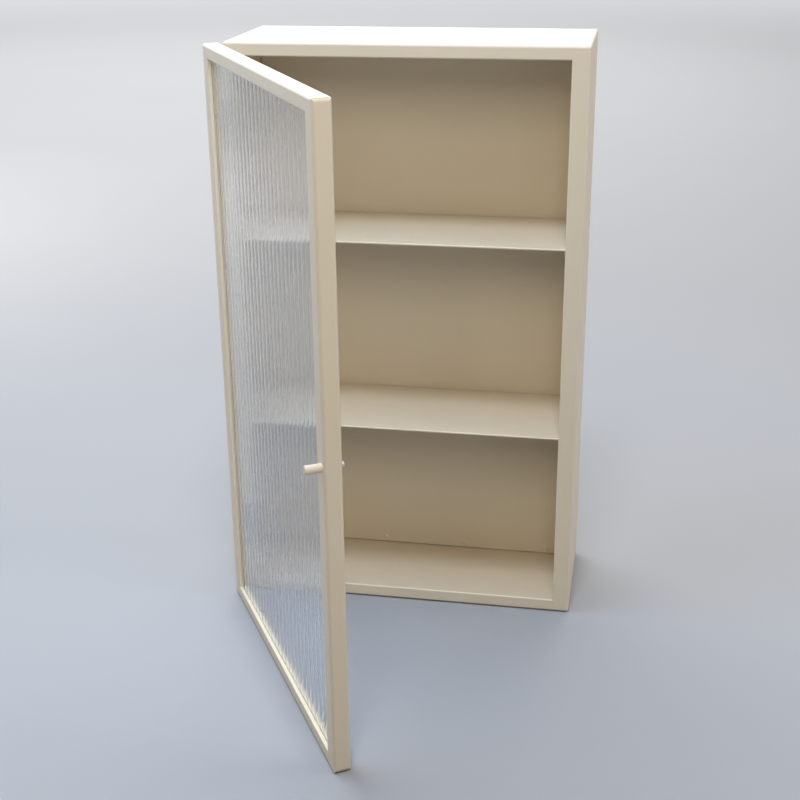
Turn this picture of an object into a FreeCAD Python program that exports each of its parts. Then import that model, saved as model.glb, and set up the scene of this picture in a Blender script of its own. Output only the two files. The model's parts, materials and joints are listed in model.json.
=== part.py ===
import FreeCAD, Part
import math
import os
from FreeCAD import Vector

# A slim steel wall cabinet with one glazed door, hinged on the left and standing open.
# X runs to the right, Y into the wall and Z up. All sizes are in millimetres.

# Case: folded sheet steel, one tray for the top, one for the bottom and a folded sheet for each side
case_width = 355.0
case_height = 600.0
case_depth = 140.0
case_sheet = 1.2
fold_radius = 2.5         # outside of a fold
case_stile = 17.5         # front flange of a side
case_rail = 13.5          # front flange of the top and of the bottom
rear_flange = 15.0        # flange of a side against the wall
hem_radius = 0.3          # inside of a hemmed edge
hem_length = 8.0

# Hanging flange: the rear flange of the top, with two keyholes for wall screws
hanging_flange = 30.0
flange_clearance = 0.3    # between the hanging flange and the flanges of the sides
keyhole_spacing = 255.0
keyhole_drop = 21.0       # from the top of the case to the middle of a keyhole's round entry
keyhole_entry = 9.0
keyhole_slot = 4.4
keyhole_rise = 10.0       # from the entry's middle to the middle of the slot's end

# Back panel: set in from the wall and riveted to an angle along the top and one along the bottom
back_sheet = 1.0
back_recess = 13.0
back_flange = 8.0
angle_sheet = 1.2
angle_leg = 14.0
angle_foot = 7.0
back_rivets_per_row = 4
back_rivet_margin = 35.0  # from the side of the case to the outer rivets
back_rivet = 3.2
back_rivet_head = 5.5
back_rivet_head_height = 0.9
back_rivet_tail = 4.4
back_rivet_tail_length = 2.0

# Shelves
shelf_sheet = 1.0
shelf_names = ("lower_shelf", "upper_shelf")
shelf_spacing = 202.0     # from the floor to the lower shelf, and from shelf to shelf
shelf_side_flange = 12.0
shelf_rear_flange = 10.0
shelf_setback = 0.3       # behind the hems of the front flanges

# Hinges: two small butt hinges, whose knuckles stand just outside the left side
hinge_height = 50.0
hinge_inset = 80.0        # from the end of the door to the middle of a hinge
hinge_leaf = 0.8
hinge_reach = 11.0        # from the pin's axis to the free edge of a leaf
hinge_offset = 1.0        # from the side of the case to the pin's axis
hinge_pin = 1.8
pin_clearance = 0.05
pin_head_height = 0.8
knuckle_count = 5
knuckle_gap = 0.2
hinge_rivet_spacing = 30.0
hinge_rivet_inset = 5.5   # from the free edge of a leaf to its rivets
hinge_rivet = 2.4
hinge_rivet_head = 4.4
hinge_rivet_head_height = 0.6
hinge_rivet_tail = 3.4
hinge_rivet_tail_length = 1.8

# Door: a welded and mitred frame of rebated tube, as wide and as high as the case
open_angle = 59.0         # how far the door stands open
door_depth = 16.5
door_stile = 17.5
door_rail = 13.0
door_wall = 1.2
door_edge_radius = 2.8
door_corner_radius = 4.0
ledge_depth = 3.3         # the part of the frame in front of the rebate
ledge_radius = 1.0
rebate_share = 0.4        # share of the frame's width that the rebate takes away

# Glazing: reeded glass against a sealing tape, held from behind by four angle beads
tape_thickness = 0.5
tape_inset = 0.5          # from the edge of the ledge to the tape
glass_thickness = 4.0
glass_clearance = 1.0
flute_pitch = 12.6
flute_depth = 0.5
bead_sheet = 1.2
bead_bend = 1.2           # to the middle of the sheet
bead_width = 4.8
bead_inset = 0.8          # from the back of the door to the bead
bead_screw = 2.5
bead_screw_length = 4.5
bead_screw_head = 3.8
bead_screw_head_height = 1.4
bead_screw_margin = 60.0  # from the end of a bead to its outer screws
rail_bead_screws = 2
stile_bead_screws = 4

# Knob, on the free stile
knob_diameter = 8.0
knob_length = 15.0
knob_edge_radius = 0.8
knob_inset = 6.0          # from the free edge of the door
knob_height = 300.0       # above the bottom of the door
knob_screw = 4.0
knob_screw_head = 7.0
knob_screw_head_height = 2.6
knob_screw_grip = 8.0     # length of the screw inside the knob
screw_clearance = 0.1

# Magnets and bumpers, stuck to the backs of the door's rails
magnet_length = 18.0
magnet_width = 4.6
magnet_inset = 45.0       # from the free edge of the door
magnet_edge_radius = 0.5
bumper_diameter = 4.8
bumper_inset = 24.0
bumper_edge_radius = 0.8
closing_clearance = 0.3   # left in front of the case when the door is shut

overrun = 10.0            # how far a cutting shape runs past what it cuts

# Sizes that follow from those above
half_width = case_width / 2
inner_half_width = half_width - case_sheet
hem_bend = hem_radius + case_sheet / 2
hem_thickness = 2 * (hem_radius + case_sheet)
shelf_front = -case_depth + hem_thickness + shelf_setback
shelf_fold = fold_radius - shelf_sheet / 2
knuckle_radius = hinge_pin / 2 + pin_clearance + hinge_leaf
door_gap = 2 * knuckle_radius
door_back = -case_depth - door_gap
door_front = door_back - door_depth
pin_x = -half_width - hinge_offset
pin_y = -case_depth - knuckle_radius
hinge_middles = {"lower": hinge_inset, "upper": case_height - hinge_inset}
rebate_depth = door_depth - ledge_depth
stile_back = door_stile * (1 - rebate_share)
rail_back = door_rail * (1 - rebate_share)
glass_front = door_back - rebate_depth + tape_thickness
glass_back = glass_front + glass_thickness
glass_half_width = half_width - stile_back - glass_clearance
glass_half_height = case_height / 2 - rail_back - glass_clearance
wall_origin = Vector(0, 0, case_height - keyhole_drop)

along_x = Vector(1, 0, 0)
along_y = Vector(0, 1, 0)
along_z = Vector(0, 0, 1)


def block(low, high):
    """Box between two opposite corners."""
    size = high - low
    return Part.makeBox(size.x, size.y, size.z, low)


def rounded_outline(corners, radii):
    """Face whose outline runs through the corners, each rounded with its own radius."""
    starts, middles, ends = [], [], []
    for index, corner in enumerate(corners):
        before = (corners[index - 1] - corner).normalize()
        after = (corners[(index + 1) % len(corners)] - corner).normalize()
        half_angle = before.getAngle(after) / 2
        reach = radii[index] / math.tan(half_angle)
        towards_centre = (before + after).normalize()
        starts.append(corner + before * reach)
        ends.append(corner + after * reach)
        middles.append(corner + towards_centre * (radii[index] / math.sin(half_angle) - radii[index]))
    edges = []
    for index, start in enumerate(starts):
        if not start.isEqual(ends[index - 1], Part.Precision.confusion()):
            edges.append(Part.LineSegment(ends[index - 1], start).toShape())
        if radii[index] > 0:
            edges.append(Part.Arc(start, middles[index], ends[index]).toShape())
    return Part.Face(Part.Wire(edges))


def folded_sheet(points, bends, thickness, normal):
    """Section of a folded sheet: its middle line runs through the points, bent at each inner one."""
    runs = [(after - before).normalize() for before, after in zip(points, points[1:])]
    sides = [normal.cross(run) * (thickness / 2) for run in runs]
    left, right = [points[0] + sides[0]], [points[0] - sides[0]]
    left_radii, right_radii = [0], [0]
    for index, bend in enumerate(bends):
        turn = normal.dot(runs[index].cross(runs[index + 1]))
        step = (sides[index] + sides[index + 1]) / (1 + runs[index].dot(runs[index + 1]))
        inner = math.copysign(thickness / 2, turn)
        left.append(points[index + 1] + step)
        right.append(points[index + 1] - step)
        left_radii.append(bend - inner)
        right_radii.append(bend + inner)
    left.append(points[-1] + sides[-1])
    right.append(points[-1] - sides[-1])
    left_radii.append(0)
    right_radii.append(0)
    return rounded_outline(left + right[::-1], left_radii + right_radii[::-1])


def mirrored(shape):
    """The same piece on the other side of the cabinet's middle plane."""
    return shape.mirror(Vector(0, 0, 0), along_x)


def upside_down(shape):
    """The same piece at the other end of the cabinet's height."""
    return shape.mirror(Vector(0, 0, case_height / 2), along_z)


def rod(diameter, start, direction):
    """Round bar from a point, as long as the direction given."""
    return Part.makeCylinder(diameter / 2, direction.Length, start, direction)


def aimed(shape, place, direction):
    """Copy of a piece made on the Z axis, with its foot at a place and its top in a direction."""
    copy = shape.copy()
    copy.Placement = FreeCAD.Placement(place, FreeCAD.Rotation(along_z, direction))
    return copy


def end_edges(shape, direction):
    """Edges around the face that lies furthest in a direction."""
    furthest = max(vertex.Point.dot(direction) for vertex in shape.Vertexes)
    nearly = furthest - Part.Precision.confusion()
    return [edge for edge in shape.Edges
            if all(vertex.Point.dot(direction) > nearly for vertex in edge.Vertexes)]


def fastener(shank, length, head, head_height, tail, tail_length):
    """Domed head above the origin, a shank below it and, on a rivet, the closed tail."""
    dome = ((head / 2) ** 2 + head_height ** 2) / (2 * head_height)
    half_angle = math.asin(head / 2 / dome) / 2
    shoulder = Vector(dome * math.sin(half_angle), 0, head_height - dome + dome * math.cos(half_angle))
    rim = Vector(head / 2, 0, 0)
    corners = [rim, Vector(shank / 2, 0, 0), Vector(shank / 2, 0, -length)]
    if tail_length > 0:
        corners += [Vector(tail / 2, 0, -length), Vector(tail / 2, 0, -length - tail_length)]
    corners += [Vector(0, 0, -length - tail_length), Vector(0, 0, head_height)]
    edges = [Part.Arc(Vector(0, 0, head_height), shoulder, rim).toShape()]
    edges.append(Part.makePolygon(corners))
    outline = Part.Wire(Part.Wire(edges).OrderedEdges)
    return Part.Face(outline).revolve(Vector(0, 0, 0), along_z, 360)


def spread(count, first, last):
    """Evenly spaced places from the first to the last."""
    return [first + (last - first) * index / (count - 1) for index in range(count)]


def rounded_case(inset):
    """Block as large as the case, with every edge rounded, drawn in by an inset."""
    low = Vector(-half_width + inset, -case_depth + inset, inset)
    high = Vector(half_width - inset, -inset, case_height - inset)
    solid = block(low, high)
    return solid.makeFillet(fold_radius - inset, solid.Edges)


def hemmed_rail():
    """Front flange of a tray, doubled back on itself along the opening."""
    front = -case_depth + case_sheet / 2
    behind = front + 2 * hem_bend
    fold = case_rail - case_sheet / 2
    foot = case_rail - hem_length
    start = Vector(-half_width + case_stile, 0, 0)
    path = [(front, foot), (front, fold), (behind, fold), (behind, foot)]
    section = folded_sheet([start + Vector(0, y, z) for y, z in path], [hem_bend] * 2, case_sheet, along_x)
    return section.extrude(along_x * (case_width - 2 * case_stile))


def tray():
    """Tray at the bottom of the case: a sheet with a flange on all four sides."""
    shell = rounded_case(0).cut(rounded_case(case_sheet))
    low = Vector(-half_width, -case_depth, 0)
    shell = shell.common(block(low, Vector(half_width, 0, case_rail)))
    opening_low = Vector(-half_width + case_stile, -case_depth - overrun, case_rail - hem_length)
    opening_high = Vector(half_width - case_stile, -case_depth + hem_thickness, case_rail + overrun)
    return shell.cut(block(opening_low, opening_high)).fuse(hemmed_rail()).removeSplitter()


def keyhole():
    """Round entry with a slot above it, cut through the hanging flange."""
    start = wall_origin - along_y * overrun
    through = along_y * (2 * overrun)
    entry = rod(keyhole_entry, start, through)
    slot_end = rod(keyhole_slot, start + along_z * keyhole_rise, through)
    half = along_x * (keyhole_slot / 2)
    slot = block(start - half, start + half + through + along_z * keyhole_rise)
    return entry.fuse([slot, slot_end])


def top_panel():
    """The top tray, whose rear flange reaches further down and carries the keyholes."""
    side = half_width - rear_flange - flange_clearance
    low = Vector(-side, -case_sheet, case_height - hanging_flange)
    flange = block(low, Vector(side, 0, case_height - case_rail))
    keyholes = [keyhole().translated(along_x * x) for x in (-keyhole_spacing / 2, keyhole_spacing / 2)]
    return upside_down(tray()).fuse(flange).removeSplitter().cut(keyholes)


def left_side():
    """A side with its hemmed front flange and its flange against the wall."""
    half = case_sheet / 2
    front = -case_depth + half
    edge = -half_width + case_stile
    path = [(edge - hem_length, front + 2 * hem_bend), (edge - half, front + 2 * hem_bend),
            (edge - half, front), (-half_width + half, front), (-half_width + half, -half),
            (-half_width + rear_flange, -half)]
    bends = [hem_bend, hem_bend, fold_radius - half, fold_radius - half]
    section = folded_sheet([Vector(x, y, case_rail) for x, y in path], bends, case_sheet, along_z)
    return section.extrude(along_z * (case_height - 2 * case_rail))


def back_panel():
    """Flat sheet between the sides, with a flange welded to each of them."""
    side = inner_half_width - back_sheet / 2
    middle = -back_recess + back_sheet / 2
    path = [(-side, middle + back_flange), (-side, middle), (side, middle), (side, middle + back_flange)]
    bends = [fold_radius - back_sheet / 2] * 2
    section = folded_sheet([Vector(x, y, fold_radius) for x, y in path], bends, back_sheet, along_z)
    return section.extrude(along_z * (case_height - 2 * fold_radius))


def lower_back_angle():
    """Angle on the floor behind the back panel."""
    half = angle_sheet / 2
    leg = -back_recess + back_sheet + half
    floor = case_sheet + half
    start = Vector(-inner_half_width + back_sheet + fold_radius, 0, 0)
    path = [(leg, case_sheet + angle_leg), (leg, floor), (leg - half + angle_foot, floor)]
    points = [start + Vector(0, y, z) for y, z in path]
    section = folded_sheet(points, [fold_radius - half], angle_sheet, along_x)
    return section.extrude(along_x * (-2 * start.x))


def back_rivet_places():
    """Places of the rivet heads on the front of the back panel."""
    across = spread(back_rivets_per_row, -half_width + back_rivet_margin, half_width - back_rivet_margin)
    low = case_sheet + angle_leg / 2
    return [Vector(x, -back_recess, z) for z in (low, case_height - low) for x in across]


def shelf(level):
    """Sheet with a hemmed front edge and a flange down at the back and at both sides."""
    half = shelf_sheet / 2
    bend = hem_radius + half
    middle = level - half
    back = -back_recess - half
    side = inner_half_width - half
    flat = inner_half_width - fold_radius
    path = [(shelf_front + hem_length, middle - 2 * bend), (shelf_front + half, middle - 2 * bend),
            (shelf_front + half, middle), (back, middle), (back, level - shelf_rear_flange)]
    lengthwise = folded_sheet([Vector(-flat, y, z) for y, z in path], [bend, bend, shelf_fold],
                              shelf_sheet, along_x).extrude(along_x * (2 * flat))
    front = shelf_front + hem_length
    low = level - shelf_side_flange
    path = [(-side, low), (-side, middle), (side, middle), (side, low)]
    crosswise = folded_sheet([Vector(x, front, z) for x, z in path], [shelf_fold] * 2, shelf_sheet, along_y)
    crosswise = crosswise.extrude(along_y * (-back_recess - fold_radius - front))
    return lengthwise.fuse(crosswise).removeSplitter()


def hinge_leaf_plate(middle, first_knuckle, towards):
    """Leaf of a hinge with every second knuckle; towards is 1 on the case and -1 on the door."""
    pitch = hinge_height / knuckle_count
    foot = Vector(pin_x, pin_y, middle - hinge_height / 2)
    inside, outside = sorted((towards * (knuckle_radius - hinge_leaf), towards * knuckle_radius))
    clear = knuckle_radius + knuckle_gap
    plate = block(foot + Vector(clear, inside, 0), foot + Vector(hinge_reach, outside, hinge_height))
    for index in range(first_knuckle, knuckle_count, 2):
        low = index * pitch + knuckle_gap / 2
        high = (index + 1) * pitch - knuckle_gap / 2
        barrel = rod(2 * knuckle_radius, foot + along_z * low, along_z * (high - low))
        strap = block(foot + Vector(0, inside, low), foot + Vector(clear, outside, high))
        plate = plate.fuse([barrel, strap])
    bore = rod(hinge_pin + 2 * pin_clearance, foot, along_z * hinge_height)
    holes = [rod(hinge_rivet, place - along_y * overrun, along_y * (2 * overrun))
             for place in hinge_rivet_places(middle)]
    return plate.removeSplitter().cut([bore] + holes)


def hinge_rivet_places(middle):
    """Places of a leaf's rivets, in the plane of the pin."""
    x = pin_x + hinge_reach - hinge_rivet_inset
    return [Vector(x, pin_y, middle + rise) for rise in (-hinge_rivet_spacing / 2, hinge_rivet_spacing / 2)]


def all_hinge_rivet_places():
    """Places of the rivets of both hinges, in the plane of the pin."""
    return [place for middle in hinge_middles.values() for place in hinge_rivet_places(middle)]


def hinge_pin_rod(middle):
    """Pin with a peened head at each end of the knuckles."""
    foot = Vector(pin_x, pin_y, middle - hinge_height / 2)
    shank = rod(hinge_pin, foot, along_z * hinge_height)
    head = 2 * (knuckle_radius - pin_clearance)
    lower = rod(head, foot, -along_z * pin_head_height)
    upper = rod(head, foot + along_z * hinge_height, along_z * pin_head_height)
    return shank.fuse([lower, upper]).removeSplitter()


def hinge_rivet_holes(towards, wall):
    """Bars where the rivets of both hinges pass through a wall of given thickness behind the leaves."""
    reach = knuckle_radius + wall + hinge_rivet_tail_length
    return [rod(hinge_rivet, place, along_y * (towards * reach)) for place in all_hinge_rivet_places()]


def hinge_rivets(towards, wall):
    """Rivets of both hinges on the case or on the door, through a leaf and the wall behind it."""
    grip = hinge_leaf + wall
    shape = fastener(hinge_rivet, grip, hinge_rivet_head, hinge_rivet_head_height,
                     hinge_rivet_tail, hinge_rivet_tail_length)
    seat = along_y * (towards * (knuckle_radius - hinge_leaf))
    return [aimed(shape, place + seat, -along_y * towards) for place in all_hinge_rivet_places()]


def rebated_section(width, inset):
    """Corners and radii of the frame's section, as distances from the outer edge and from the back."""
    back = width * (1 - rebate_share)
    corners = [(inset, inset), (back - inset, inset), (back - inset, rebate_depth + inset),
               (width - inset, rebate_depth + inset), (width - inset, door_depth - inset),
               (inset, door_depth - inset)]
    outer = max(door_edge_radius - inset, 0)
    return corners, [outer, 0, 0, 0, max(ledge_radius - inset, 0), outer]


def stile_bar(inset):
    """Left stile of the door before its ends are cut, or the hollow inside it."""
    corners, radii = rebated_section(door_stile, inset)
    points = [Vector(-half_width + across, door_back - depth, 0) for across, depth in corners]
    return rounded_outline(points, radii).extrude(along_z * case_height)


def rail_bar(inset):
    """Bottom rail of the door before its ends are cut, or the hollow inside it."""
    corners, radii = rebated_section(door_rail, inset)
    points = [Vector(-half_width, door_back - depth, across) for across, depth in corners]
    return rounded_outline(points, radii).extrude(along_x * case_width)


def door_outline():
    """Block of the door's outline, with rounded corners."""
    points = [Vector(x, door_back, z) for x, z in frame_corners(0, 0)]
    return rounded_outline(points, [door_corner_radius] * len(points)).extrude(-along_y * door_depth)


def frame_corners(across, up):
    """Corners of a rectangle drawn in from the door's outline, round from the bottom left."""
    left, right = -half_width + across, half_width - across
    return [(left, up), (right, up), (right, case_height - up), (left, case_height - up)]


def mitred(bar, index):
    """One side of the door's frame, cut at its mitres; index counts from the bottom rail."""
    outer = frame_corners(0, 0)
    inner = frame_corners(door_stile, door_rail)
    following = (index + 1) % len(outer)
    corners = [outer[index], outer[following], inner[following], inner[index]]
    wedge = rounded_outline([Vector(x, door_back, z) for x, z in corners], [0] * len(corners))
    return bar.common(wedge.extrude(-along_y * door_depth)).common(door_outline())


def door_frame():
    """The four sides of the door's frame, hollow and mitred."""
    rail = rail_bar(0).cut(rail_bar(door_wall))
    stile = stile_bar(0).cut(stile_bar(door_wall))
    bars = {"door_bottom_rail": rail, "handle_stile": mirrored(stile),
            "door_top_rail": upside_down(rail), "hinge_stile": stile}
    return {name: mitred(bar, index) for index, (name, bar) in enumerate(bars.items())}


def sealing_tape():
    """Flat ring between the ledge of the frame and the glass."""
    front = door_back - rebate_depth
    faces = []
    for across, up in ((stile_back + glass_clearance, rail_back + glass_clearance),
                       (door_stile - tape_inset, door_rail - tape_inset)):
        corners = frame_corners(across, up)
        faces.append(rounded_outline([Vector(x, front, z) for x, z in corners], [0] * len(corners)))
    return faces[0].cut(faces[1]).extrude(along_y * tape_thickness)


def reeded_glass():
    """Pane with upright rounded flutes on its front and a flat back."""
    count = int(2 * glass_half_width / flute_pitch)
    first = -count * flute_pitch / 2
    foot = case_height / 2 - glass_half_height
    valley = glass_front + flute_depth
    edges = []
    for index in range(count):
        left = first + index * flute_pitch
        edges.append(Part.Arc(Vector(left, valley, foot), Vector(left + flute_pitch / 2, glass_front, foot),
                              Vector(left + flute_pitch, valley, foot)).toShape())
    rest = [(-first, valley), (glass_half_width, valley), (glass_half_width, glass_back),
            (-glass_half_width, glass_back), (-glass_half_width, valley), (first, valley)]
    edges.append(Part.makePolygon([Vector(x, y, foot) for x, y in rest]))
    outline = Part.Wire(Part.Wire(edges).OrderedEdges)
    return Part.Face(outline).extrude(along_z * (2 * glass_half_height))


def rail_bead():
    """Angle along the bottom of the rebate: one leg on the frame, one against the glass."""
    half = bead_sheet / 2
    leg = rail_back + half
    glass_leg = glass_back + half
    path = [(door_back - bead_inset, leg), (glass_leg, leg), (glass_leg, rail_back + bead_width)]
    start = Vector(-half_width + stile_back, 0, 0)
    section = folded_sheet([start + Vector(0, y, z) for y, z in path], [bead_bend], bead_sheet, along_x)
    return section.extrude(along_x * (-2 * start.x))


def stile_bead():
    """Angle along the left of the rebate, between the beads of the rails."""
    half = bead_sheet / 2
    leg = -half_width + stile_back + half
    edge = -half_width + stile_back + bead_width
    glass_leg = glass_back + half
    path = [(leg, door_back - bead_inset), (leg, glass_leg), (edge, glass_leg)]
    foot = rail_back + bead_width
    section = folded_sheet([Vector(x, y, foot) for x, y in path], [bead_bend], bead_sheet, along_z)
    return section.extrude(along_z * (case_height - 2 * foot))


def bead_screw_places():
    """Place of each bead screw's head on its bead, and the direction that the head faces."""
    bend_end = glass_back + bead_sheet + bead_bend - bead_sheet / 2
    y = (door_back - bead_inset + bend_end) / 2
    reach = half_width - stile_back - bead_screw_margin
    across = spread(rail_bead_screws, -reach, reach)
    foot = rail_back + bead_screw_margin
    upright = spread(stile_bead_screws, foot, case_height - foot)
    low, side = rail_back + bead_sheet, half_width - stile_back - bead_sheet
    places = [(Vector(x, y, low), along_z) for x in across]
    places += [(Vector(x, y, case_height - low), -along_z) for x in across]
    places += [(Vector(-side, y, z), along_x) for z in upright]
    return places + [(Vector(side, y, z), -along_x) for z in upright]


def bead_screw_holes():
    """Bars through the beads and the frame where the screws go."""
    return [rod(bead_screw + screw_clearance, place, -direction * bead_screw_length)
            for place, direction in bead_screw_places()]


def knob_place():
    """Middle of the knob's foot, on the front of the free stile."""
    return Vector(half_width - knob_inset, door_front, knob_height)


def knob():
    """Round bar with a softened end and a blind hole for its screw."""
    bar = rod(knob_diameter, Vector(0, 0, 0), along_z * knob_length)
    bar = bar.makeFillet(knob_edge_radius, end_edges(bar, along_z))
    hole = rod(knob_screw + screw_clearance, -along_z * overrun, along_z * (overrun + knob_screw_grip))
    return aimed(bar.cut(hole), knob_place(), -along_y)


def knob_screw_solid():
    """Screw from the back of the stile into the knob."""
    shape = fastener(knob_screw, door_depth + knob_screw_grip - screw_clearance,
                     knob_screw_head, knob_screw_head_height, knob_screw, 0)
    return aimed(shape, knob_place() + along_y * door_depth, along_y)


def rail_back_places(inset):
    """Middle of each rail's flat back, at a distance from the free edge."""
    rise = (door_edge_radius + rail_back) / 2
    return [Vector(half_width - inset, door_back, z) for z in (rise, case_height - rise)]


def door_magnets():
    """Bar magnets on the backs of both rails."""
    reach = door_gap - closing_clearance
    magnets = []
    for place in rail_back_places(magnet_inset):
        bar = block(place + Vector(-magnet_length / 2, 0, -magnet_width / 2),
                    place + Vector(magnet_length / 2, reach, magnet_width / 2))
        magnets.append(bar.makeFillet(magnet_edge_radius, end_edges(bar, along_y)))
    return magnets


def door_bumpers():
    """Round rubber stops on the backs of both rails."""
    reach = door_gap - closing_clearance
    bumpers = []
    for place in rail_back_places(bumper_inset):
        stop = rod(bumper_diameter, place, along_y * reach)
        bumpers.append(stop.makeFillet(bumper_edge_radius, end_edges(stop, along_y)))
    return bumpers


def case_pieces():
    """Everything that stays on the wall."""
    back_holes = [rod(back_rivet, place - along_y * overrun, along_y * (2 * overrun))
                  for place in back_rivet_places()]
    rivet = fastener(back_rivet, back_sheet + angle_sheet, back_rivet_head, back_rivet_head_height,
                     back_rivet_tail, back_rivet_tail_length)
    side = left_side()
    pieces = {
        "top_panel": [top_panel()],
        "bottom_panel": [tray()],
        "left_side": [side.cut(hinge_rivet_holes(1, case_sheet))],
        "right_side": [mirrored(side)],
        "back_panel": [back_panel().cut(back_holes)],
        "lower_back_angle": [lower_back_angle().cut(back_holes)],
        "upper_back_angle": [upside_down(lower_back_angle()).cut(back_holes)],
        "back_rivets": [aimed(rivet, place, -along_y) for place in back_rivet_places()],
        "case_hinge_rivets": hinge_rivets(1, case_sheet),
    }
    for index, name in enumerate(shelf_names):
        pieces[name] = [shelf(case_sheet + shelf_spacing * (index + 1))]
    for name, middle in hinge_middles.items():
        pieces["%s_hinge_case_leaf" % name] = [hinge_leaf_plate(middle, 0, 1)]
        pieces["%s_hinge_pin" % name] = [hinge_pin_rod(middle)]
    return pieces


def door_pieces():
    """Everything that swings, as it lies when the door is shut."""
    frame = door_frame()
    holes = bead_screw_holes()
    frame["hinge_stile"] = frame["hinge_stile"].cut(hinge_rivet_holes(-1, door_wall))
    screw_way = rod(knob_screw + screw_clearance, knob_place() - along_y * overrun,
                    along_y * (door_depth + 2 * overrun))
    frame["handle_stile"] = frame["handle_stile"].cut(screw_way)
    screw = fastener(bead_screw, bead_screw_length, bead_screw_head, bead_screw_head_height, bead_screw, 0)
    pieces = {name: [shape.cut(holes)] for name, shape in frame.items()}
    pieces.update({
        "sealing_tape": [sealing_tape()],
        "reeded_glass": [reeded_glass()],
        "bottom_bead": [rail_bead().cut(holes)],
        "top_bead": [upside_down(rail_bead()).cut(holes)],
        "hinge_side_bead": [stile_bead().cut(holes)],
        "handle_side_bead": [mirrored(stile_bead()).cut(holes)],
        "bead_screws": [aimed(screw, place, direction) for place, direction in bead_screw_places()],
        "knob": [knob()],
        "knob_screw": [knob_screw_solid()],
        "door_magnets": door_magnets(),
        "door_bumpers": door_bumpers(),
        "door_hinge_rivets": hinge_rivets(-1, door_wall),
    })
    for name, middle in hinge_middles.items():
        pieces["%s_hinge_door_leaf" % name] = [hinge_leaf_plate(middle, 1, -1)]
    return pieces


def write(name, solids):
    """One file for each piece, measured from the keyholes."""
    shape = solids[0] if len(solids) == 1 else Part.makeCompound(solids)
    shape.translated(-wall_origin).exportStep("parts/%s.step" % name)


os.makedirs("parts", exist_ok=True)
for name, solids in case_pieces().items():
    write(name, solids)
for name, solids in door_pieces().items():
    hinge = Vector(pin_x, pin_y, 0)
    write(name, [solid.rotated(hinge, along_z, -open_angle) for solid in solids])
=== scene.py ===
import json
import math

import bmesh
import bpy
from mathutils import Matrix, Vector

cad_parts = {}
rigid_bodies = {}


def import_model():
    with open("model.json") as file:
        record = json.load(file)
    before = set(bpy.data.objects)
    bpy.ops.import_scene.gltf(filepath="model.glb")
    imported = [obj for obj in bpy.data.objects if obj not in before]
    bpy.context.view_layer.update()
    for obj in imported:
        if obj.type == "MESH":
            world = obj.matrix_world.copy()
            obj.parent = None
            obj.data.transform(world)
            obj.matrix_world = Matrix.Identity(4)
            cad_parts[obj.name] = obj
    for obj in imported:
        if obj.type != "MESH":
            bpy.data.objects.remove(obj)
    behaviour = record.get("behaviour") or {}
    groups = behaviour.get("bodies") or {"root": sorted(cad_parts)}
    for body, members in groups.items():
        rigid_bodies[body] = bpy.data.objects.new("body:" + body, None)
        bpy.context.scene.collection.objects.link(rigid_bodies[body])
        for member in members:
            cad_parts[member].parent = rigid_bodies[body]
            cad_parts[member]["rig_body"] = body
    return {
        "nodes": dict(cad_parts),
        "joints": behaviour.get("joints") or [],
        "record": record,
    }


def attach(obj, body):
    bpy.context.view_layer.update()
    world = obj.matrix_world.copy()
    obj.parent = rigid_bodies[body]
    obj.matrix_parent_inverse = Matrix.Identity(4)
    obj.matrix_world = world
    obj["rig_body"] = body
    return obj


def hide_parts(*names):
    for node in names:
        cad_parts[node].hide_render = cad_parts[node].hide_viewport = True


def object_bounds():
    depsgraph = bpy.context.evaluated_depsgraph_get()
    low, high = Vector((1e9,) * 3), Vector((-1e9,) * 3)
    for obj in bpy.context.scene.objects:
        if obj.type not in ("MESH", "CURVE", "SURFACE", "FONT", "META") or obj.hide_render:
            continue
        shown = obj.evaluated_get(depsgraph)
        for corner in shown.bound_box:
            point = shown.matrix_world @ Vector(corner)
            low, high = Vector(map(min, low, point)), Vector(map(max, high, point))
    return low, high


# A slim steel wall cabinet whose glazed door stands open. The folded sheets, the door's bars and the hinges
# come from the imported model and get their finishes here. The pane, the rivets and the screws are made anew
# with finer detail. Everything is in metres, with X to the right, Y into the wall and Z up.
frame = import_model()
cad_low, cad_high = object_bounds()

bl_info = {
    "name": "Glazed Wall Cabinet",
    "version": (1, 0, 0),
    "blender": (4, 5, 0),
    "location": "View3D > Sidebar > Cabinet",
    "description": "Finishes, glazing and fasteners of a steel wall cabinet, and a stage to look at it",
    "category": "Object",
}

millimetre = 0.001
weld_distance = millimetre / 1000
flute_weld_distance = millimetre / 100
# An edge that bends more than this stays sharp on a smooth piece.
sharp_edge = math.radians(30)
sharp_flute_edge = math.radians(20)
door_joint = frame["joints"][0]
hinge_axis = Vector(door_joint["pos_m"])
open_angle = -math.radians(door_joint["range_deg"][0])
door_swing = Matrix.Rotation(-open_angle, 3, "Z")


def linear(hex_colour):
    """Linear red, green and blue of an sRGB colour written as six hex digits."""
    channels = [int(hex_colour[index:index + 2], 16) / 255 for index in (0, 2, 4)]
    return [value / 12.92 if value <= 0.04045 else ((value + 0.055) / 1.055) ** 2.4 for value in channels]


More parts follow.
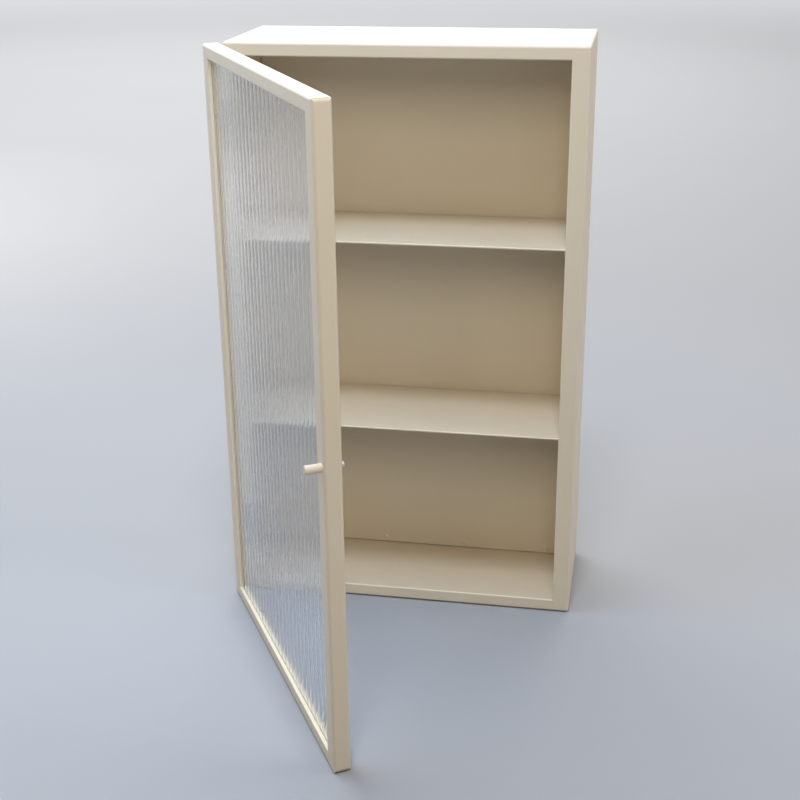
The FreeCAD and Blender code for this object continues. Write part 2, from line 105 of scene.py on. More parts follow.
class CabinetFinish(bpy.types.PropertyGroup):
    """Colours and surface of the cabinet's materials."""
    coat_colour: bpy.props.FloatVectorProperty(
        name="Powder coat", description="Colour of the coated steel", subtype="COLOR",
        default=linear("dccdb3"), min=0, max=1)
    coat_shade: bpy.props.FloatVectorProperty(
        name="Powder coat, thin", description="Colour of the coat where it is a little thinner",
        subtype="COLOR", default=linear("d8c9ad"), min=0, max=1)
    coat_roughness: bpy.props.FloatProperty(
        name="Coat roughness", description="How matt the coat is", subtype="FACTOR",
        default=0.46, min=0, max=1)
    coat_wave: bpy.props.FloatProperty(
        name="Coat wave", description="Width of the coat's fine waves", unit="LENGTH",
        default=2.4 * millimetre)
    zinc_colour: bpy.props.FloatVectorProperty(
        name="Zinc", description="Colour of the plated steel", subtype="COLOR",
        default=linear("cfc9bd"), min=0, max=1)
    glass_clearness: bpy.props.FloatProperty(
        name="Glass clearness", description="Share of the light that the glass lets through unscattered",
        default=1.0, min=0, max=1, subtype="FACTOR")
    glass_roughness: bpy.props.FloatProperty(
        name="Glass roughness", description="How matt the glass is", subtype="FACTOR",
        default=0.04, min=0, max=1)
    glass_tint: bpy.props.FloatVectorProperty(
        name="Glass", description="Tint of the glass", subtype="COLOR",
        default=linear("e9eff5"), min=0, max=1)
    # Painted shade: the darker colour the glass gets in the lines between its flutes, standing in for the
    # light a groove bends away.
    painted_groove_shade_colour: bpy.props.FloatVectorProperty(
        name="Groove tint", description="Colour of the glass in the lines between its flutes",
        subtype="COLOR", default=linear("838c91"), min=0, max=1)
    foam_colour: bpy.props.FloatVectorProperty(
        name="Foam tape", description="Colour of the sealing tape", subtype="COLOR",
        default=linear("cdc9bd"), min=0, max=1)
    rubber_colour: bpy.props.FloatVectorProperty(
        name="Bumper", description="Colour of the bumpers", subtype="COLOR",
        default=linear("e9e8e2"), min=0, max=1)
    nickel_colour: bpy.props.FloatVectorProperty(
        name="Nickel", description="Colour of the magnets", subtype="COLOR",
        default=linear("cfcac0"), min=0, max=1)


class CabinetDetail(bpy.types.PropertyGroup):
    """Sizes of the pieces that are made here."""
    flute_pitch: bpy.props.FloatProperty(
        name="Flute pitch", description="Width of a flute of the glass", unit="LENGTH",
        default=12.6 * millimetre)
    flute_depth: bpy.props.FloatProperty(
        name="Flute depth", description="Height of a flute of the glass", unit="LENGTH",
        default=0.12 * millimetre)
    groove_width: bpy.props.FloatProperty(
        name="Groove width", description="Width of the line between two flutes", unit="LENGTH",
        default=1.3 * millimetre)
    groove_depth: bpy.props.FloatProperty(
        name="Groove depth", description="Depth of the line between two flutes", unit="LENGTH",
        default=0.03 * millimetre)
    flute_segments: bpy.props.IntProperty(
        name="Flute segments", description="Facets across a flute", default=12, min=4, max=32)
    turned_segments: bpy.props.IntProperty(
        name="Fastener segments", description="Facets around a rivet or screw", default=40, min=12, max=96)
    mandrel_share: bpy.props.FloatProperty(
        name="Mandrel hole", description="Share of a rivet's head taken by the hole of its mandrel",
        default=0.3, min=0.1, max=0.6, subtype="FACTOR")
    recess_share: bpy.props.FloatProperty(
        name="Screw recess", description="Share of a screw's head taken by its cross recess",
        default=0.56, min=0.2, max=0.8, subtype="FACTOR")


class CabinetStage(bpy.types.PropertyGroup):
    """Camera, lights, floor and backdrop."""
    camera_place: bpy.props.FloatVectorProperty(
        name="Camera", description="Place of the camera", subtype="TRANSLATION", unit="LENGTH",
        default=(0.2333, -1.4223, 0.1797))
    camera_heading: bpy.props.FloatProperty(
        name="Heading", description="Turn of the camera to the right of straight ahead", subtype="ANGLE",
        default=math.radians(-10.57))
    camera_dip: bpy.props.FloatProperty(
        name="Dip", description="How far the camera looks down", subtype="ANGLE",
        default=math.radians(21.79))
    camera_tilt: bpy.props.FloatProperty(
        name="Tilt", description="Turn of the camera about its line of sight", subtype="ANGLE",
        default=math.radians(-0.63))
    camera_lens: bpy.props.FloatProperty(
        name="Lens", description="Focal length on a sensor 36 mm wide", subtype="DISTANCE_CAMERA",
        default=60.45)
    floor_colour: bpy.props.FloatVectorProperty(
        name="Floor", description="Colour of the floor", subtype="COLOR",
        default=linear("9b9b9b"), min=0, max=1)
    sky_colour: bpy.props.FloatVectorProperty(
        name="Surround", description="Colour of the light from all around", subtype="COLOR",
        default=linear("fff2dc"), min=0, max=1)
    sky_strength: bpy.props.FloatProperty(
        name="Surround strength", description="Strength of the light from all around", default=0.03, min=0)
    # Also the colour of the floor's painted glow in the distance.
    backdrop_colour: bpy.props.FloatVectorProperty(
        name="Backdrop", description="Colour of the distance, where floor and background meet",
        subtype="COLOR", default=linear("abaeb2"), min=0, max=1)
    front_power: bpy.props.FloatProperty(
        name="Front light", description="Power of the light above the camera", default=10.4, unit="POWER")
    key_power: bpy.props.FloatProperty(
        name="Key light", description="Power of the high light in front of the cabinet",
        default=17.8, unit="POWER")
    right_power: bpy.props.FloatProperty(
        name="Right light", description="Power of the wide light on the right", default=15, unit="POWER")
    left_power: bpy.props.FloatProperty(
        name="Left light", description="Power of the wide light on the left", default=6.5, unit="POWER")
    corner_power: bpy.props.FloatProperty(
        name="Corner light", description="Power of the near light above the door", default=5.8, unit="POWER")
    floor_power: bpy.props.FloatProperty(
        name="Floor light", description="Power of the wide light above the floor behind the cabinet",
        default=430, unit="POWER")
    pool_power: bpy.props.FloatProperty(
        name="Pool light", description="Power of the light above the floor that the pane mirrors",
        default=11, unit="POWER")


def add_node(tree, kind, inputs=None, **settings):
    """A node with its settings; each input is a value or the socket that feeds it."""
    node = tree.nodes.new(kind)
    for name, value in settings.items():
        setattr(node, name, value)
    for name, value in (inputs or {}).items():
        if isinstance(value, bpy.types.NodeSocket):
            tree.links.new(value, node.inputs[name])
        else:
            node.inputs[name].default_value = value
    return node


def new_material(name):
    """An empty node material, with its tree and its output node."""
    material = bpy.data.materials.new(name)
    material.use_nodes = True
    material.node_tree.nodes.clear()
    return material, material.node_tree, add_node(material.node_tree, "ShaderNodeOutputMaterial")


def opaque(colour):
    """A colour with full alpha, as a colour socket takes it."""
    return [*colour, 1.0]


def per_metre(size):
    """Scale of a noise pattern whose patches are about so wide."""
    return 1 / size


def powder_coat(finish):
    """Baked polyester powder on steel: a satin skin with a faint orange peel and no sparkle."""
    material, tree, output = new_material("powder_coated_steel")
    place = add_node(tree, "ShaderNodeTexCoord").outputs["Object"]
    # The real peel is finer than a pixel of the render, so it is drawn two to three times as wide.
    peel = add_node(tree, "ShaderNodeTexNoise", {"Vector": place, "Scale": per_metre(finish.coat_wave),
                                                 "Detail": 2.0, "Roughness": 0.45})
    cloud = add_node(tree, "ShaderNodeTexNoise", {"Vector": place, "Scale": per_metre(90 * millimetre),
                                                  "Detail": 3.0, "Roughness": 0.5})
    colour = add_node(tree, "ShaderNodeMix", {"Factor": cloud.outputs["Fac"], "A": opaque(finish.coat_shade),
                                              "B": opaque(finish.coat_colour)}, data_type="RGBA")
    gloss = add_node(tree, "ShaderNodeMapRange", {"Value": peel.outputs["Fac"],
                                                  "From Min": 0.3, "From Max": 0.7,
                                                  "To Min": finish.coat_roughness - 0.05,
                                                  "To Max": finish.coat_roughness + 0.05})
    relief = add_node(tree, "ShaderNodeBump", {"Height": peel.outputs["Fac"], "Strength": 0.35,
                                               "Distance": 0.12 * millimetre})
    shader = add_node(tree, "ShaderNodeBsdfPrincipled", {"Base Color": colour.outputs["Result"],
                                                         "Roughness": gloss.outputs["Result"],
                                                         "Normal": relief.outputs["Normal"], "IOR": 1.5})
    tree.links.new(shader.outputs["BSDF"], output.inputs["Surface"])
    return material


def zinc_plate(finish):
    """Bright zinc on pressed and drawn steel: a soft grey metal, a little cloudy and finely scuffed."""
    material, tree, output = new_material("zinc_plated_steel")
    place = add_node(tree, "ShaderNodeTexCoord").outputs["Object"]
    cloud = add_node(tree, "ShaderNodeTexNoise", {"Vector": place, "Scale": per_metre(4 * millimetre),
                                                  "Detail": 4.0, "Roughness": 0.6})
    gloss = add_node(tree, "ShaderNodeMapRange", {"Value": cloud.outputs["Fac"],
                                                  "From Min": 0.3, "From Max": 0.7,
                                                  "To Min": 0.34, "To Max": 0.5})
    relief = add_node(tree, "ShaderNodeBump", {"Height": cloud.outputs["Fac"], "Strength": 0.2,
                                               "Distance": 0.05 * millimetre})
    shader = add_node(tree, "ShaderNodeBsdfPrincipled", {"Base Color": opaque(finish.zinc_colour),
                                                         "Metallic": 1.0,
                                                         "Roughness": gloss.outputs["Result"],
                                                         "Normal": relief.outputs["Normal"]})
    tree.links.new(shader.outputs["BSDF"], output.inputs["Surface"])
    return material


def rolled_glass(finish):
    """Clear rolled glass: sharp reflections with a faint ripple, and thin grey lines of painted shade
    between the flutes.
    """
    material, tree, output = new_material("reeded_glass")
    place = add_node(tree, "ShaderNodeTexCoord").outputs["Object"]
    drawn = add_node(tree, "ShaderNodeMapping", {"Vector": place, "Scale": (1.0, 1.0, 0.01)})
    ripple = add_node(tree, "ShaderNodeTexNoise", {"Vector": drawn.outputs["Vector"],
                                                   "Scale": per_metre(9 * millimetre), "Detail": 1.0})
    relief = add_node(tree, "ShaderNodeBump", {"Height": ripple.outputs["Fac"], "Strength": 0.1,
                                               "Distance": 0.1 * millimetre})
    # A groove between two flutes bends light away from the eye, so it is seen as a thin darker line. That
    # line is painted shade: the glass's colour darkens where the groove bottoms are marked.
    groove = add_node(tree, "ShaderNodeAttribute", attribute_name="groove").outputs["Fac"]
    tint = add_node(tree, "ShaderNodeMix", {"Factor": groove, "A": opaque(finish.glass_tint),
                                            "B": opaque(finish.painted_groove_shade_colour)}, data_type="RGBA")
    shader = add_node(tree, "ShaderNodeBsdfPrincipled", {"Base Color": tint.outputs["Result"],
                                                         "Roughness": finish.glass_roughness, "IOR": 1.52,
                                                         "Transmission Weight": finish.glass_clearness,
                                                         "Normal": relief.outputs["Normal"]})
    tree.links.new(shader.outputs["BSDF"], output.inputs["Surface"])
    return material


def foam_tape(finish):
    """Closed-cell foam with a cut edge: dull and pale, with a fine open grain."""
    material, tree, output = new_material("foam_tape")
    place = add_node(tree, "ShaderNodeTexCoord").outputs["Object"]
    cells = add_node(tree, "ShaderNodeTexVoronoi", {"Vector": place, "Scale": per_metre(0.5 * millimetre)})
    relief = add_node(tree, "ShaderNodeBump", {"Height": cells.outputs["Distance"], "Strength": 0.5,
                                               "Distance": 0.1 * millimetre})
    shader = add_node(tree, "ShaderNodeBsdfPrincipled", {"Base Color": opaque(finish.foam_colour),
                                                         "Roughness": 0.9,
                                                         "Normal": relief.outputs["Normal"]})
    tree.links.new(shader.outputs["BSDF"], output.inputs["Surface"])
    return material


def clear_rubber(finish):
    """Cast polyurethane bumper: soft, milky and half clear, with a smooth skin."""
    material, tree, output = new_material("clear_rubber")
    place = add_node(tree, "ShaderNodeTexCoord").outputs["Object"]
    skin = add_node(tree, "ShaderNodeTexNoise", {"Vector": place, "Scale": per_metre(1.5 * millimetre)})
    gloss = add_node(tree, "ShaderNodeMapRange", {"Value": skin.outputs["Fac"],
                                                  "To Min": 0.22, "To Max": 0.38})
    shader = add_node(tree, "ShaderNodeBsdfPrincipled", {"Base Color": opaque(finish.rubber_colour),
                                                         "Roughness": gloss.outputs["Result"], "IOR": 1.48,
                                                         "Transmission Weight": 0.55})
    tree.links.new(shader.outputs["BSDF"], output.inputs["Surface"])
    return material


def nickel_plate(finish):
    """Nickel on a sintered magnet: a warm bright metal with a faint matt cloud."""
    material, tree, output = new_material("nickel_plated_magnet")
    place = add_node(tree, "ShaderNodeTexCoord").outputs["Object"]
    cloud = add_node(tree, "ShaderNodeTexNoise", {"Vector": place, "Scale": per_metre(2 * millimetre),
                                                  "Detail": 3.0})
    gloss = add_node(tree, "ShaderNodeMapRange", {"Value": cloud.outputs["Fac"],
                                                  "To Min": 0.12, "To Max": 0.28})
    shader = add_node(tree, "ShaderNodeBsdfPrincipled", {"Base Color": opaque(finish.nickel_colour),
                                                         "Metallic": 1.0,
                                                         "Roughness": gloss.outputs["Result"]})
    tree.links.new(shader.outputs["BSDF"], output.inputs["Surface"])
    return material


# Painted light: the floor glows with the backdrop's colour, more and more between two circles around the lit
# floor, so that it fades into the backdrop. Their sizes are in metres.
glow_middle, glow_start, glow_end = (-1.1, 2.3, 0.0), 3.0, 6.5


def painted_floor(stage):
    """Matt painted board: pale, with a barely uneven sheen, and a painted glow of the backdrop's colour that
    takes it over in the distance.
    """
    material, tree, output = new_material("pale_floor")
    place = add_node(tree, "ShaderNodeTexCoord").outputs["Object"]
    cloud = add_node(tree, "ShaderNodeTexNoise", {"Vector": place, "Scale": per_metre(400 * millimetre),
                                                  "Detail": 2.0})
    gloss = add_node(tree, "ShaderNodeMapRange", {"Value": cloud.outputs["Fac"],
                                                  "To Min": 0.75, "To Max": 0.9})
    reach = add_node(tree, "ShaderNodeVectorMath", {0: place, 1: glow_middle}, operation="DISTANCE")
    # Painted light: how strongly the floor glows, from nothing near the cabinet to full in the distance.
    painted_floor_glow = add_node(tree, "ShaderNodeMapRange", {"Value": reach.outputs["Value"],
                                                 "From Min": glow_start, "From Max": glow_end},
                    interpolation_type="SMOOTHSTEP")
    shader = add_node(tree, "ShaderNodeBsdfPrincipled", {"Base Color": opaque(stage.floor_colour),
                                                         "Roughness": gloss.outputs["Result"],
                                                         "Emission Color": opaque(stage.backdrop_colour),
                                                         "Emission Strength": painted_floor_glow.outputs["Result"]})
    tree.links.new(shader.outputs["BSDF"], output.inputs["Surface"])
    return material


def nodes_in_slot(slot):
    """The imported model's pieces that the record gives one material slot."""
    return [row["node"] for row in frame["record"]["subparts"] if row["material_slot"] == slot]


def cover(slot, material):
    """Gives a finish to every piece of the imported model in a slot."""
    for name in nodes_in_slot(slot):
        frame["nodes"][name].material_slots[0].material = material


def shut(point):
    """Where a point of the door lies when the door is shut."""
    return hinge_axis + door_swing.inverted() @ (point - hinge_axis)


def corners(points):
    """Lowest and highest corner of some points."""
    return (Vector([min(axis) for axis in zip(*points)]), Vector([max(axis) for axis in zip(*points)]))


def body_of_node(node):
    """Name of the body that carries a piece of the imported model."""
    return frame["nodes"][node]["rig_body"]


def islands(node):
    """Points of each separate solid of a node, with the door shut."""
    mesh = bmesh.new()
    mesh.from_mesh(frame["nodes"][node].data)
    bmesh.ops.remove_doubles(mesh, verts=mesh.verts, dist=weld_distance)
    on_door = body_of_node(node) == door_joint["child"]
    found, seen = [], set()
    for start in mesh.verts:
        if start in seen:
            continue
        group, waiting = [], [start]
        seen.add(start)
        while waiting:
            vertex = waiting.pop()
            group.append(shut(vertex.co) if on_door else vertex.co.copy())
            for edge in vertex.link_edges:
                other = edge.other_vert(vertex)
                if other not in seen:
                    seen.add(other)
                    waiting.append(other)
        found.append(group)
    mesh.free()
    return found


# Points of a fastener that are at least this share of its radius from its axis are on the rim of its head.
rim_share = 0.98


def fastener_seat(points):
    """Place, outward direction, head radius, head height and length of a fastener with these points."""
    low, high = corners(points)
    centre = (low + high) / 2
    # A turned piece is even about its axis, but leans along it, since its head has more points than its end.
    lean = sum(points, Vector()) / len(points) - centre
    axis = max(range(3), key=lambda index: abs(lean[index]))
    across = [index for index in range(3) if index != axis]
    radii = [Vector((point[across[0]] - centre[across[0]], point[across[1]] - centre[across[1]])).length
             for point in points]
    widest = max(radii)
    rim = [point[axis] for point, radius in zip(points, radii) if radius > rim_share * widest]
    seat = sum(rim) / len(rim)
    outward = 1 if seat > centre[axis] else -1
    place, direction = centre.copy(), Vector((0, 0, 0))
    place[axis], direction[axis] = seat, outward
    end, foot = (high[axis], low[axis]) if outward > 0 else (low[axis], high[axis])
    return place, direction, widest, abs(end - seat), abs(seat - foot)


def lathe(mesh, profile, segments):
    """Turns a line of (radius, height) points about the Z axis into a closed solid."""
    vertices = [mesh.verts.new((radius, 0, height)) for radius, height in profile]
    edges = [mesh.edges.new(pair) for pair in zip(vertices, vertices[1:])]
    bmesh.ops.spin(mesh, geom=vertices + edges, cent=(0, 0, 0), axis=(0, 0, 1), angle=2 * math.pi,
                   steps=segments, use_merge=True)
    bmesh.ops.remove_doubles(mesh, verts=mesh.verts, dist=weld_distance)
    bmesh.ops.recalc_face_normals(mesh, faces=mesh.faces)


def dome(radius, height, steps, inner_radius):
    """Points of a domed head, from its rim to a radius near its middle."""
    ball = (radius ** 2 + height ** 2) / (2 * height)
    first = math.asin(radius / ball)
    last = math.asin(inner_radius / ball)
    angles = [first + (last - first) * step / steps for step in range(steps + 1)]
    return [(ball * math.sin(angle), height - ball + ball * math.cos(angle)) for angle in angles]


# A blind rivet. Its shank and tail are shares of the head's radius, and its bulge is a share of its length.
# The tail's outline is in shares of the tail's radius and of the bulge. The outline of the mandrel's hole is
# in shares of the hole's radius and of the head's height.
rivet_shank_share, rivet_tail_share, rivet_bulge_share = 0.58, 0.8, 0.48
rivet_tail_shares = ((0.7, 0.0), (1.0, 0.3), (1.0, 0.8))
mandrel_lip_share = 1.15
mandrel_hole_shares = ((1.0, 0.82), (1.0, 0.25), (0.5, 0.32), (0.0, 0.34))
dome_steps = 6


def blind_rivet(detail, radius, height, length):
    """Domed rivet whose mandrel broke off below the face of its head, with the bulge of its tail."""
    mesh = bmesh.new()
    hole = radius * detail.mandrel_share
    shank = radius * rivet_shank_share
    tail = radius * rivet_tail_share
    bulge = length * rivet_bulge_share
    profile = [(0, -length)]
    profile += [(tail * across, bulge * along - length) for across, along in rivet_tail_shares]
    profile += [(shank, bulge - length), (shank, 0)]
    profile += dome(radius, height, dome_steps, hole * mandrel_lip_share)
    profile += [(hole * across, height * along) for across, along in mandrel_hole_shares]
    lathe(mesh, profile, detail.turned_segments)
    return mesh


# A cross-headed screw. The flat of its head and its shank are shares of the head's radius, its tip is in
# shares of the shank's radius, and the straight edge of its head is a share of the head's height.
screw_flat_share, screw_shank_share = 0.72, 0.63
screw_tip_share, screw_tip_length_share = 0.8, 0.3
screw_edge_share = 0.35
screw_edge_steps = 4
# Its recess: half an arm's width is a share of the cross's reach, the floor is a share of the cross, and the
# depth is a share of the head's height.
cross_arm_share, cross_floor_share, cross_depth_share = 0.3, 0.55, 0.7


def cross_screw(detail, radius, height, length):
    """Pan-headed screw with a cross recess."""
    mesh = bmesh.new()
    flat = radius * screw_flat_share
    shank = radius * screw_shank_share
    edge = height * screw_edge_share
    turns = [step * math.pi / 2 / screw_edge_steps for step in range(1, screw_edge_steps)]
    profile = [(0, -length), (shank * screw_tip_share, -length),
               (shank, shank * screw_tip_length_share - length), (shank, 0), (radius, 0), (radius, edge)]
    profile += [(flat + (radius - flat) * math.cos(turn), edge + (height - edge) * math.sin(turn))
                for turn in turns]
    profile += [(flat, height)]
    lathe(mesh, profile, detail.turned_segments)
    cut_cross(mesh, radius * detail.recess_share, height)
    return mesh


def vertices_in(geometry):
    """The vertices in the result of a mesh operation."""
    return [item for item in geometry if isinstance(item, bmesh.types.BMVert)]


def cut_cross(mesh, reach, height):
    """Closes the open top of a screw's head around a cross that narrows towards its floor."""
    arm = reach * cross_arm_share
    grid = bmesh.ops.create_grid(mesh, x_segments=3, y_segments=3, size=reach,
                                 matrix=Matrix.Translation((0, 0, height)))["verts"]
    for vertex in grid:
        for axis in (0, 1):
            if abs(vertex.co[axis]) < reach / 2:
                vertex.co[axis] = math.copysign(arm, vertex.co[axis])
    faces = [face for face in mesh.faces if face.verts[0] in grid]
    outer = [face for face in faces if min(map(abs, face.calc_center_median().xy)) > arm]
    bmesh.ops.delete(mesh, geom=outer, context="FACES")
    cross = [face for face in faces if face.is_valid]
    gap = [edge for edge in mesh.edges if edge.is_boundary]
    bmesh.ops.triangle_fill(mesh, use_beauty=True, use_dissolve=False, edges=gap)
    sunk = bmesh.ops.extrude_face_region(mesh, geom=cross)["geom"]
    bmesh.ops.delete(mesh, geom=cross, context="FACES")
    floor = vertices_in(sunk)
    bmesh.ops.translate(mesh, verts=floor, vec=(0, 0, -cross_depth_share * height))
    bmesh.ops.scale(mesh, verts=floor, vec=(cross_floor_share, cross_floor_share, 1))
    bmesh.ops.recalc_face_normals(mesh, faces=mesh.faces)


def swing_open(mesh):
    """Moves a piece that was made on the shut door to where the door stands."""
    bmesh.ops.rotate(mesh, verts=mesh.verts, cent=hinge_axis, matrix=door_swing)


def finished_piece(name, mesh, material, sharp_angle=sharp_edge):
    """An object from a bmesh, smooth but for its sharp edges."""
    for face in mesh.faces:
        face.smooth = True
    for edge in mesh.edges:
        edge.smooth = edge.calc_face_angle(0) < sharp_angle
    data = bpy.data.meshes.new(name)
    mesh.to_mesh(data)
    mesh.free()
    data.materials.append(material)
    piece = bpy.data.objects.new(name, data)
    bpy.context.scene.collection.objects.link(piece)
    return piece


def fastener_group(node, maker, name):
    """One piece with a detailed copy of every fastener of a node, in the same places."""
    detail = bpy.context.scene.cabinet_detail
    group = bmesh.new()
    for points in islands(node):
        place, direction, radius, height, length = fastener_seat(points)
        one = maker(detail, radius, height, length)
        turn = Vector((0, 0, 1)).rotation_difference(direction).to_matrix().to_4x4()
        one.transform(Matrix.Translation(place) @ turn)
        loose = bpy.data.meshes.new(name)
        one.to_mesh(loose)
        one.free()
        group.from_mesh(loose)
        bpy.data.meshes.remove(loose)
    body = body_of_node(node)
    if body == door_joint["child"]:
        swing_open(group)
    piece = finished_piece(name, group, frame["nodes"][node].material_slots[0].material)
    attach(piece, body)
    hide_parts(node)
    return piece


def loose_ends(mesh):
    """Both ends of a chain of edges, the left one first."""
    ends = [vertex for vertex in mesh.verts if len(vertex.link_edges) == 1]
    return sorted(ends, key=lambda vertex: vertex.co.x)


def reeded_pane(detail):
    """Pane of the shut door: upright flutes with fine lines between them on its front, and a flat back."""
    low, high = corners([shut(vertex.co) for vertex in frame["nodes"]["reeded_glass"].data.vertices])
    pitch, depth = detail.flute_pitch, detail.flute_depth
    count = int((high.x - low.x) / pitch)
    first = (low.x + high.x - count * pitch) / 2
    middle = first + pitch / 2
    valley = low.y + depth
    crown = pitch - detail.groove_width
    radius = (crown ** 2 / 4 + depth ** 2) / (2 * depth)
    mesh = bmesh.new()
    # Marks the bottoms of the grooves, where the glass gets its painted shade.
    groove = mesh.verts.layers.float.new("groove")
    start = mesh.verts.new((first + detail.groove_width / 2, valley, low.z))
    bmesh.ops.spin(mesh, geom=[start], cent=(middle, low.y + radius, low.z), axis=(0, 0, 1),
                   angle=2 * math.asin(crown / 2 / radius), steps=detail.flute_segments)
    for end, side in zip(loose_ends(mesh), (-1, 1)):
        bottom = mesh.verts.new((middle + side * pitch / 2, valley + detail.groove_depth, low.z))
        bottom[groove] = 1.0
        mesh.edges.new((end, bottom))
    flute = mesh.verts[:] + mesh.edges[:]
    for index in range(1, count):
        copy = bmesh.ops.duplicate(mesh, geom=flute)["geom"]
        bmesh.ops.translate(mesh, verts=vertices_in(copy), vec=(index * pitch, 0, 0))
    bmesh.ops.remove_doubles(mesh, verts=mesh.verts, dist=flute_weld_distance)
    left, right = loose_ends(mesh)
    around = [(low.x, valley), (low.x, high.y), (high.x, high.y), (high.x, valley)]
    chain = [left, *[mesh.verts.new((x, y, low.z)) for x, y in around], right]
    for pair in zip(chain, chain[1:]):
        mesh.edges.new(pair)
    bmesh.ops.contextual_create(mesh, geom=mesh.edges[:])
    raised = bmesh.ops.extrude_face_region(mesh, geom=mesh.faces[:])["geom"]
    bmesh.ops.translate(mesh, verts=vertices_in(raised), vec=(0, 0, high.z - low.z))
    bmesh.ops.recalc_face_normals(mesh, faces=mesh.faces)
    return mesh


class CABINET_OT_coat_steel(bpy.types.Operator):
    """Powder coat on the case, the shelves, the door's frame and the knob"""
    bl_idname = "cabinet.coat_steel"
    bl_label = "Coat the Steel"

    def execute(self, context):
        cover("powder_coated_steel", powder_coat(context.scene.cabinet_finish))
        return {"FINISHED"}


class CABINET_OT_plate_hinges(bpy.types.Operator):
    """Zinc on the hinges and on the bare fasteners"""
    bl_idname = "cabinet.plate_hinges"
    bl_label = "Plate the Hinges"

    def execute(self, context):
        cover("zinc_plated_steel", zinc_plate(context.scene.cabinet_finish))
        return {"FINISHED"}


class CABINET_OT_fit_catch(bpy.types.Operator):
    """Finishes of the sealing tape, the bumpers and the magnets"""
    bl_idname = "cabinet.fit_catch"
    bl_label = "Finish the Seal and Catch"

    def execute(self, context):
        finish = context.scene.cabinet_finish
        cover("foam_tape", foam_tape(finish))
        cover("clear_rubber", clear_rubber(finish))
        cover("nickel_plated_magnet", nickel_plate(finish))
        return {"FINISHED"}


class CABINET_OT_glaze_door(bpy.types.Operator):
    """Pane of reeded glass in the door"""
    bl_idname = "cabinet.glaze_door"
    bl_label = "Glaze the Door"

    def execute(self, context):
        mesh = reeded_pane(context.scene.cabinet_detail)
        swing_open(mesh)
        glass = rolled_glass(context.scene.cabinet_finish)
        pane = finished_piece("reeded_pane", mesh, glass, sharp_flute_edge)
        # Clear glass lets the light through, so the pane throws no solid shadow.
        pane.visible_shadow = False
        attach(pane, body_of_node("reeded_glass"))
        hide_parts("reeded_glass")
        return {"FINISHED"}


class CABINET_OT_set_rivets(bpy.types.Operator):
    """Blind rivets of the back panel and of the hinges"""
    bl_idname = "cabinet.set_rivets"
    bl_label = "Set the Rivets"

    def execute(self, context):
        for node, slot in (("back_rivets", "powder_coated_steel"),
                           ("case_hinge_rivets", "zinc_plated_steel"),
                           ("door_hinge_rivets", "zinc_plated_steel")):
            fastener_group(node, blind_rivet, node + "_detailed")
        return {"FINISHED"}


class CABINET_OT_drive_screws(bpy.types.Operator):
    """Cross-headed screws of the beads and of the knob"""
    bl_idname = "cabinet.drive_screws"
    bl_label = "Drive the Screws"

    def execute(self, context):
        for node in ("bead_screws", "knob_screw"):
            fastener_group(node, cross_screw, node + "_detailed")
        return {"FINISHED"}


# Each soft light with the setting of its power, its place and aim from the middle of the cabinet, its width
# and its colour.
lights = (
    ("front_light", "front_power", (0.12, -1.5, 1.1), (0, 0, 0), 0.7, "fff6e6"),
    ("key_light", "key_power", (0.15, -0.72, 1.75), (0, 0, 0), 0.35, "e4ecff"),
    ("corner_light", "corner_power", (-0.35, -0.12, 0.98), (0, 0, 0), 0.5, "bbd9ff"),
    ("right_light", "right_power", (1.8, 0.15, 0.85), (0, 0, 0), 1.0, "f4f7ff"),
    ("left_light", "left_power", (-1.31, 0.11, 0.92), (0, 0, 0), 0.8, "cfe0ff"),
    ("floor_light", "floor_power", (-1.6, 4.4, 2.4), (-1.6, 4.4, 0), 6.5, "fbfcff"),
    ("pool_light", "pool_power", (-1.7, 1.3, 0.7), (-1.7, 1.3, 0), 0.8, "fbfcff"),
)
floor_half_width = 30


def soft_light(name, place, aim, size, power, colour):
    """Square soft light that looks at a point."""
    light = bpy.data.lights.new(name, "AREA")
    light.shape, light.size, light.energy, light.color = "SQUARE", size, power, colour
    lamp = bpy.data.objects.new(name, light)
    lamp.location = place
    lamp.rotation_euler = (Vector(aim) - Vector(place)).to_track_quat("-Z", "Y").to_euler()
    bpy.context.scene.collection.objects.link(lamp)


def pale_floor(stage):
    """Wide floor just under the cabinet."""
    mesh = bmesh.new()
    bmesh.ops.create_grid(mesh, x_segments=1, y_segments=1, size=floor_half_width)
    bmesh.ops.translate(mesh, verts=mesh.verts, vec=(0, 0, cad_low.z - millimetre))
    finished_piece("floor", mesh, painted_floor(stage))


def surround(stage):
    """Pale backdrop on all sides, and a dim even light from all around."""
    world = bpy.data.worlds.new("surround")
    world.use_nodes = True
    world.node_tree.nodes.clear()
    tree = world.node_tree
    light = add_node(tree, "ShaderNodeBackground", {"Color": opaque(stage.sky_colour),
                                                    "Strength": stage.sky_strength})
    backdrop = add_node(tree, "ShaderNodeBackground", {"Color": opaque(stage.backdrop_colour)})
    # The backdrop is seen straight, in mirrors and through the glass. Matt surfaces get only the dim light.
    bounces = add_node(tree, "ShaderNodeLightPath").outputs["Diffuse Depth"]
    matt = add_node(tree, "ShaderNodeMath", {0: bounces, 1: 0.5}, operation="GREATER_THAN")
    both = add_node(tree, "ShaderNodeMixShader", {0: matt.outputs["Value"],
                                                  1: backdrop.outputs["Background"],
                                                  2: light.outputs["Background"]})
    output = add_node(tree, "ShaderNodeOutputWorld")
    tree.links.new(both.outputs["Shader"], output.inputs["Surface"])
    bpy.context.scene.world = world


def photo_camera(stage):
    """Camera where the photograph was taken from."""
    data = bpy.data.cameras.new("photo_camera")
    data.sensor_width, data.lens = 36, stage.camera_lens
    camera = bpy.data.objects.new("photo_camera", data)
    turn = (Matrix.Rotation(-stage.camera_heading, 4, "Z")
            @ Matrix.Rotation(math.pi / 2 - stage.camera_dip, 4, "X")
            @ Matrix.Rotation(stage.camera_tilt, 4, "Z"))
    camera.matrix_world = Matrix.Translation(stage.camera_place) @ turn
    bpy.context.scene.collection.objects.link(camera)
    bpy.context.scene.camera = camera


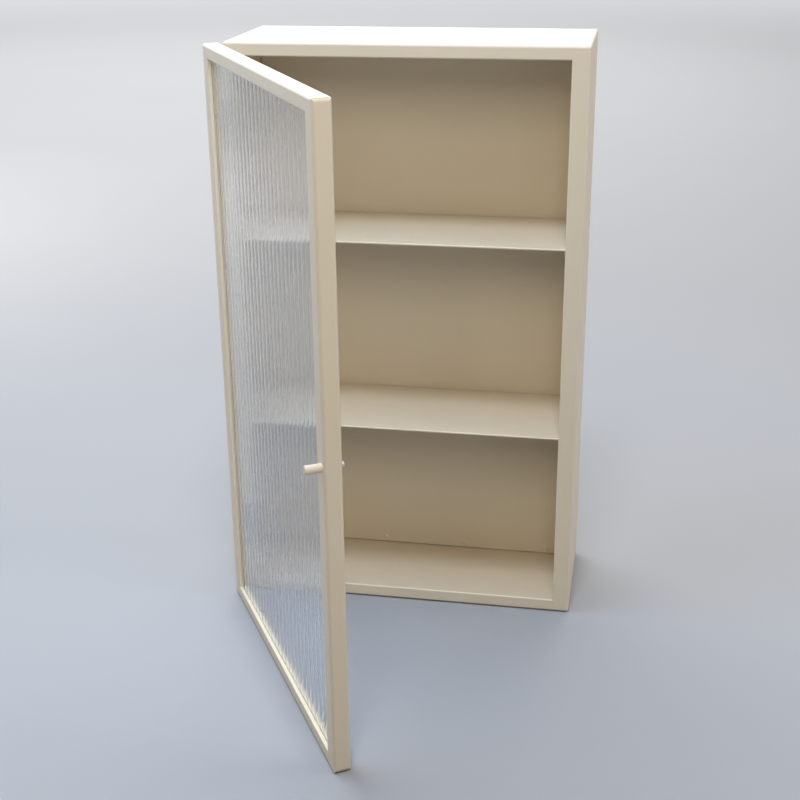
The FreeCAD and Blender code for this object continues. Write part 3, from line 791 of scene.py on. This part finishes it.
class CABINET_OT_set_stage(bpy.types.Operator):
    """Floor, lights and camera"""
    bl_idname = "cabinet.set_stage"
    bl_label = "Set the Stage"

    def execute(self, context):
        stage = context.scene.cabinet_stage
        middle = (cad_low + cad_high) / 2
        pale_floor(stage)
        surround(stage)
        for name, power, place, aim, width, colour in lights:
            soft_light(name, middle + Vector(place), middle + Vector(aim), width, getattr(stage, power),
                       linear(colour))
        photo_camera(stage)
        context.scene.view_settings.view_transform = "Standard"
        return {"FINISHED"}


class CABINET_PT_panel(bpy.types.Panel):
    """Sizes, colours and steps of the cabinet"""
    bl_idname = "CABINET_PT_panel"
    bl_label = "Wall Cabinet"
    bl_space_type = "VIEW_3D"
    bl_region_type = "UI"
    bl_category = "Cabinet"

    def draw(self, context):
        layout = self.layout
        for step in steps:
            layout.operator(step.bl_idname)
        for name in settings:
            box = layout.box()
            group = getattr(context.scene, name)
            for key in group.__annotations__:
                box.prop(group, key)


settings = {"cabinet_finish": CabinetFinish, "cabinet_detail": CabinetDetail, "cabinet_stage": CabinetStage}
steps = (CABINET_OT_coat_steel, CABINET_OT_plate_hinges, CABINET_OT_fit_catch, CABINET_OT_glaze_door,
         CABINET_OT_set_rivets, CABINET_OT_drive_screws, CABINET_OT_set_stage)


def register():
    """Adds the settings, the steps and the panel to Blender."""
    for kind in (*settings.values(), *steps, CABINET_PT_panel):
        bpy.utils.register_class(kind)
    for name, kind in settings.items():
        setattr(bpy.types.Scene, name, bpy.props.PointerProperty(type=kind))


def unregister():
    """Takes them out again."""
    for name in settings:
        delattr(bpy.types.Scene, name)
    for kind in (CABINET_PT_panel, *reversed(steps), *settings.values()):
        bpy.utils.unregister_class(kind)


def main():
    """Registers the add-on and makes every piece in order."""
    register()
    bpy.ops.cabinet.coat_steel()
    bpy.ops.cabinet.plate_hinges()
    bpy.ops.cabinet.fit_catch()
    bpy.ops.cabinet.glaze_door()
    bpy.ops.cabinet.set_rivets()
    bpy.ops.cabinet.drive_screws()
    bpy.ops.cabinet.set_stage()


if __name__ == "__main__":
    main()
